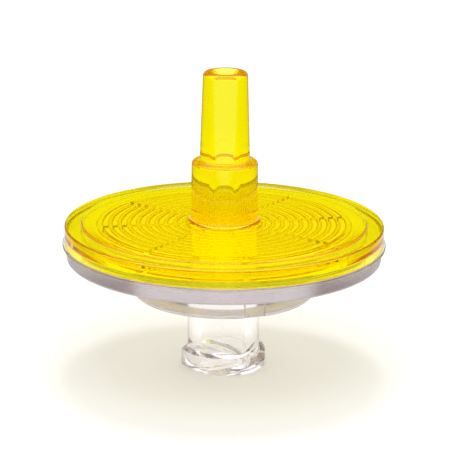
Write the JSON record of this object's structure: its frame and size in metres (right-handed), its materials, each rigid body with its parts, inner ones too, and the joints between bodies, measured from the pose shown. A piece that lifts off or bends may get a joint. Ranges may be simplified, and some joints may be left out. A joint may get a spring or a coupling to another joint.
{
  "type": "syringe filter",
  "caption": "Disposable syringe filter: a flat round housing holds a membrane, with a male Luer slip tip above and a female Luer lock below.",
  "frame": {"origin": "middle of the bottom end face, at the mouth of the female Luer lock", "axes": "+Z along the flow axis from the female Luer lock to the male Luer tip, -Y towards the viewer"},
  "size_m": [0.0293, 0.0292, 0.0275],
  "materials": {
    "clear_plastic": "clear moulded plastic, glossy",
    "membrane": "white filter membrane, matte",
    "yellow_plastic": "clear yellow moulded plastic, glossy"
  },
  "bodies": {
    "root": {"inlet_housing": "clear_plastic", "membrane": "membrane", "outlet_housing": "yellow_plastic"}
  },
  "joints": []
}
